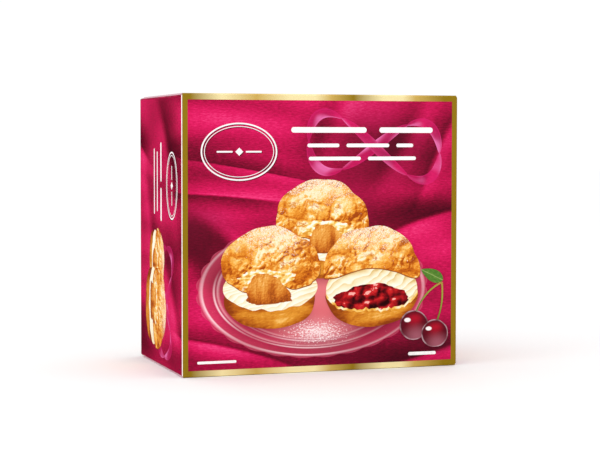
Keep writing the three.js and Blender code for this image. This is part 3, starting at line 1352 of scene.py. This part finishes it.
# %% [markdown]
# ## The front
#
# The front has the whole picture: a plate with three puffs, one of them cut, a pair of
# cherries, the ribbon, the emblem and the bars. The two puffs in front have higher levels
# than the one behind, so they cover it. The glass is darker under each puff, in a soft spot
# that is worked out from the puff's place.

# %% The front's layout
# Each puff: its centre, its radius, its lowest level and its seed.
PUFFS = [((-1, 3), 32, 3, 1.3), ((-36, -28), 33, 13, 4.1), ((34, -30), 34, 13, 2.2)]
# The place where the stalks of the cherries meet.
JOINT = (84, -34)
# Each bar that stands where a word would be: its centre, its length and its height.
TITLE = [
    (4, 67, 52, 3.6), (58, 67, 38, 3.6),
    (0, 57, 22, 2.4), (31, 57, 30, 2.4), (57, 57, 12, 2.4),
    (8, 48.5, 36, 2.4), (48, 48.5, 34, 2.4),
]


def under_puff(centre, r):
    """The soft spot on the plate under a puff, in the plate's own coordinates."""
    across = (centre[0] - PLATE_CENTRE[0]) / PLATE_SIZE[0]
    up = (centre[1] - 0.8 * r - PLATE_CENTRE[1]) / PLATE_SIZE[1]
    return (across, up), (1.15 * r / PLATE_SIZE[0], 0.45 * r / PLATE_SIZE[1]), 0.85


# %% The front
front = Picture("front", "front")
plate(front, PLATE_CENTRE, PLATE_SIZE, 1, [under_puff(centre, r) for centre, r, _, _ in PUFFS])
puff(front, *PUFFS[0], lean=0.12)
puff(front, *PUFFS[1], lean=-0.08)
cut_puff(front, *PUFFS[2])
for index, ((x, y), radius) in enumerate(FRUIT):
    stalk(front, (x + 1, y + 0.7 * radius), JOINT, 3 - 5 * index, 20 + 2 * index)
    cherry(front, (x, y), radius, 21 + 2 * index, 1.1 + index)
front.shape("leaf", leaf_outline, (77, -29), (8.5, 4), 23, turn=155)
ribbon(front, (36, 56), (46, 19))
emblem(front, (-57, 53), (25.5, 18.5))
front.rules(TITLE, level=4)
front.rules([(-72, -81, 26, 1.7), (70, -81, 20, 2.2)])
front.done()

# %% [markdown]
# ## The narrow walls
#
# The picture on each narrow wall lies on its side, so that it reads upright when the
# carton lies flat in a drawer. One loop makes both, and their seeds keep them from being
# the same.

# %% The narrow walls
for wall, seed in (("left", 3.3), ("right", 5.2)):
    side = Picture(wall, f"{wall} picture")
    ribbon(side, (46, 14), (36, 16))
    puff(side, (19, -9), 20, 3, seed, lean=0.1)
    puff(side, (51, -12), 27, 13, seed + 1.4, lean=-0.15)
    emblem(side, (-31, 31), (22, 14))
    side.rules([(-46, 3, 26, 3.0), (-18, 3, 22, 3.0), (-33, -7, 40, 2.0), (-33, -15, 44, 2.0)])
    side.done()

# %% [markdown]
# ## The back
#
# The back of a food carton is mostly small print. Here it is a pale panel with two columns
# of thin bars. A rule varies their lengths as the lines of a paragraph vary.

# %% The back
# The panel's left, right, low and high edges on the back's board, in millimetres.
PANEL, PANEL_CORNER = (-79, 79, -76, 8), 5
# Where each column of bars starts, with a number that makes its lengths differ.
COLUMNS = [(-70, 0), (8, 10)]
ROWS, FIRST_ROW, ROW_STEP = 9, -4, 7.4
LONGEST_BAR, BAR_SPREAD, BAR_HEIGHT = 60, 19, 1.3

back = Picture("back", "back")
emblem(back, (0, 58), (27, 19))
back.rules([(-20, 30, 46, 3.2), (28, 30, 34, 3.2), (0, 22, 60, 2.2)])
pale = back.ink("pale")
round_corners(pale, rectangle(pale, *PANEL), PANEL_CORNER)
lay_ink(pale, pale.verts[:], back.board)
for left, change in COLUMNS:
    for row in range(ROWS):
        length = LONGEST_BAR - (7 * row * row + change) % BAR_SPREAD
        centre = (left + length / 2, FIRST_ROW - ROW_STEP * row)
        bar(back.ink("deep"), back.board, centre, length, BAR_HEIGHT, 2)
back.done()

# %% [markdown]
# ## The top
#
# The top repeats the emblem and a few bars, so that the carton is known from above too.

# %% The top
top = Picture("top", "top")
emblem(top, (-48, 0), (27, 19))
top.rules([(20, 9, 50, 3.6), (64, 9, 26, 3.6), (36, -1, 60, 2.4), (36, -9, 44, 2.4)])
top.done()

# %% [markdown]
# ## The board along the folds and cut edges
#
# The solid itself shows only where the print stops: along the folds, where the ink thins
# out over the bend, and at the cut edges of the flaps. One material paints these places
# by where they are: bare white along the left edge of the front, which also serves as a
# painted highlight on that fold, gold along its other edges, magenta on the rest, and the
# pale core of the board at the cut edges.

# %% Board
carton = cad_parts["carton"]
# How far each zone of colour reaches in from the faces, in millimetres.
FRONT_ZONE, END_ZONE, BACK_ZONE, BARE_AND_HIGHLIT_FOLD = 1.0, 0.98, 1.2, 0.5
MAGENTA, DARK_MAGENTA = srgb(186, 24, 74), srgb(150, 16, 56)
# The bare board's white, which on the front's left fold also serves as a painted highlight.
BARE_WHITE_AND_HIGHLIGHT, BARE_WHITE_AND_HIGHLIGHT_PATCH = srgb(252, 250, 248), srgb(240, 232, 232)
WORN, CUT_EDGE = srgb(240, 200, 212), srgb(214, 176, 186)


def board_ink(wire):
    coords = wire.node("TexCoord").outputs
    place = coords["Object"]
    x, y, z = wire.parts(place)
    _, _, tilt = wire.parts(coords["Normal"])

    def below(value, limit):
        return wire.math("LESS_THAN", value, limit * MM)

    def above(value, limit):
        return wire.math("GREATER_THAN", value, limit * MM)

    at_front = wire.times(below(y, -DEPTH / 2 + FRONT_ZONE), above(x, -WIDTH / 2 + BARE_AND_HIGHLIT_FOLD))
    at_end = wire.math("ADD", below(z, END_ZONE), above(z, HEIGHT - END_ZONE), clamp=True)
    upright = wire.math("LESS_THAN", wire.math("ABSOLUTE", tilt), 0.5)
    cut = wire.times(at_end, upright, above(y, -DEPTH / 2 + FRONT_ZONE), below(y, DEPTH / 2 - BACK_ZONE))
    worn = wire.fade(wire.noise(place, 700.0, 3, 0.6), 0.62, 0.72)
    colour = blotchy(wire, place, MAGENTA, DARK_MAGENTA, 90.0)
    colour = wire.over(colour, WORN, worn, 0.4)
    colour = wire.over(colour, CUT_EDGE, cut)
    colour = wire.over(colour, gold_ink(wire), at_front)
    # Bare white board along the front's left fold, which also stands in for a painted highlight on that
    # edge.
    bare_and_highlight = blotchy(wire, place, BARE_WHITE_AND_HIGHLIGHT, BARE_WHITE_AND_HIGHLIGHT_PATCH, 500.0, 0.36, 0.5)
    fold = wire.times(below(y, -DEPTH / 2 + BARE_AND_HIGHLIT_FOLD), below(x, -WIDTH / 2 + BARE_AND_HIGHLIT_FOLD))
    return wire.over(colour, bare_and_highlight, fold)


carton.data.materials.clear()
carton.data.materials.append(printed("carton board", board_ink, roughness=0.5, coat=0.0))
print("the carton's own material:", carton.data.materials[0].name)

# %% [markdown]
# ## Camera, light and floor
#
# The camera stands off the front's left corner, a little below the carton's top, with a
# long lens, so the walls hardly converge. The light is a plain studio: an even white
# room, a soft key from above the front, and a wide soft light on the left for the narrow
# wall. The floor is matt and nearly white, so it shows only a soft shadow. The varnish
# mirrors neither it nor the room, because they would make the print look pale.

# %% Camera
CAMERA_PLACE = (-0.353, -1.013, 0.149)
CAMERA_TURN = 18.07
CAMERA_TILT = 2.57
scene = bpy.context.scene
camera_data = bpy.data.cameras.new("camera")
camera = bpy.data.objects.new("camera", camera_data)
scene.collection.objects.link(camera)
scene.camera = camera
camera_data.sensor_width = 36
camera_data.lens = 94.5
camera_data.shift_x = 0.06
camera_data.shift_y = -0.02
camera_data.clip_start = 0.05
camera_data.clip_end = 50
camera.location = CAMERA_PLACE
camera.rotation_euler = (math.radians(90 - CAMERA_TILT), 0, math.radians(-CAMERA_TURN))
print("camera at", CAMERA_PLACE, "with a lens of", camera_data.lens, "mm")

# %% Light
ROOM_LIGHT = 1.03
KEY_LIGHT = 2.2
SIDE_LIGHT = 8.2
scene.view_settings.view_transform = "Standard"
world = bpy.data.worlds.new("studio")
scene.world = world
world.use_nodes = True
wire = Wiring(world.node_tree)
world.node_tree.nodes.clear()
room = wire.node("Background", Color=(1, 1, 1, 1), Strength=ROOM_LIGHT)
wire.node("OutputWorld", Surface=room.outputs[0])
world.cycles_visibility.glossy = False


def soft_light(name, place, size, power):
    data = bpy.data.lights.new(name, "AREA")
    data.shape = "DISK"
    data.size = size
    data.energy = power
    made = bpy.data.objects.new(name, data)
    scene.collection.objects.link(made)
    made.location = place
    to_carton = Vector((0, 0, HEIGHT * MM / 2)) - Vector(place)
    made.rotation_euler = to_carton.to_track_quat("-Z", "Y").to_euler()
    print(f"{name} light: {power} W, {size} m across")


soft_light("key", (-0.5, -1.3, 1.5), 1.2, KEY_LIGHT)
soft_light("side", (-1.9, -0.5, 0.9), 1.4, SIDE_LIGHT)

# %% Floor
# In metres. The gap keeps the floor clear of the carton's bottom.
FLOOR_RADIUS = 8.0
FLOOR_GAP = 0.0002
bm = bmesh.new()
bmesh.ops.create_circle(bm, cap_ends=True, radius=FLOOR_RADIUS, segments=RIM_STEPS)
mesh = bpy.data.meshes.new("floor")
bm.to_mesh(mesh)
bm.free()
floor = bpy.data.objects.new("floor", mesh)
scene.collection.objects.link(floor)
material = bpy.data.materials.new("floor")
material.use_nodes = True
paint = material.node_tree.nodes["Principled BSDF"].inputs
paint["Base Color"].default_value = (0.98, 0.98, 0.98, 1)
paint["Roughness"].default_value = 0.9
paint["Specular IOR Level"].default_value = 0.0
mesh.materials.append(material)
floor.location.z = -FLOOR_GAP
floor.visible_glossy = False
print("floor:", 2 * FLOOR_RADIUS, "m across")
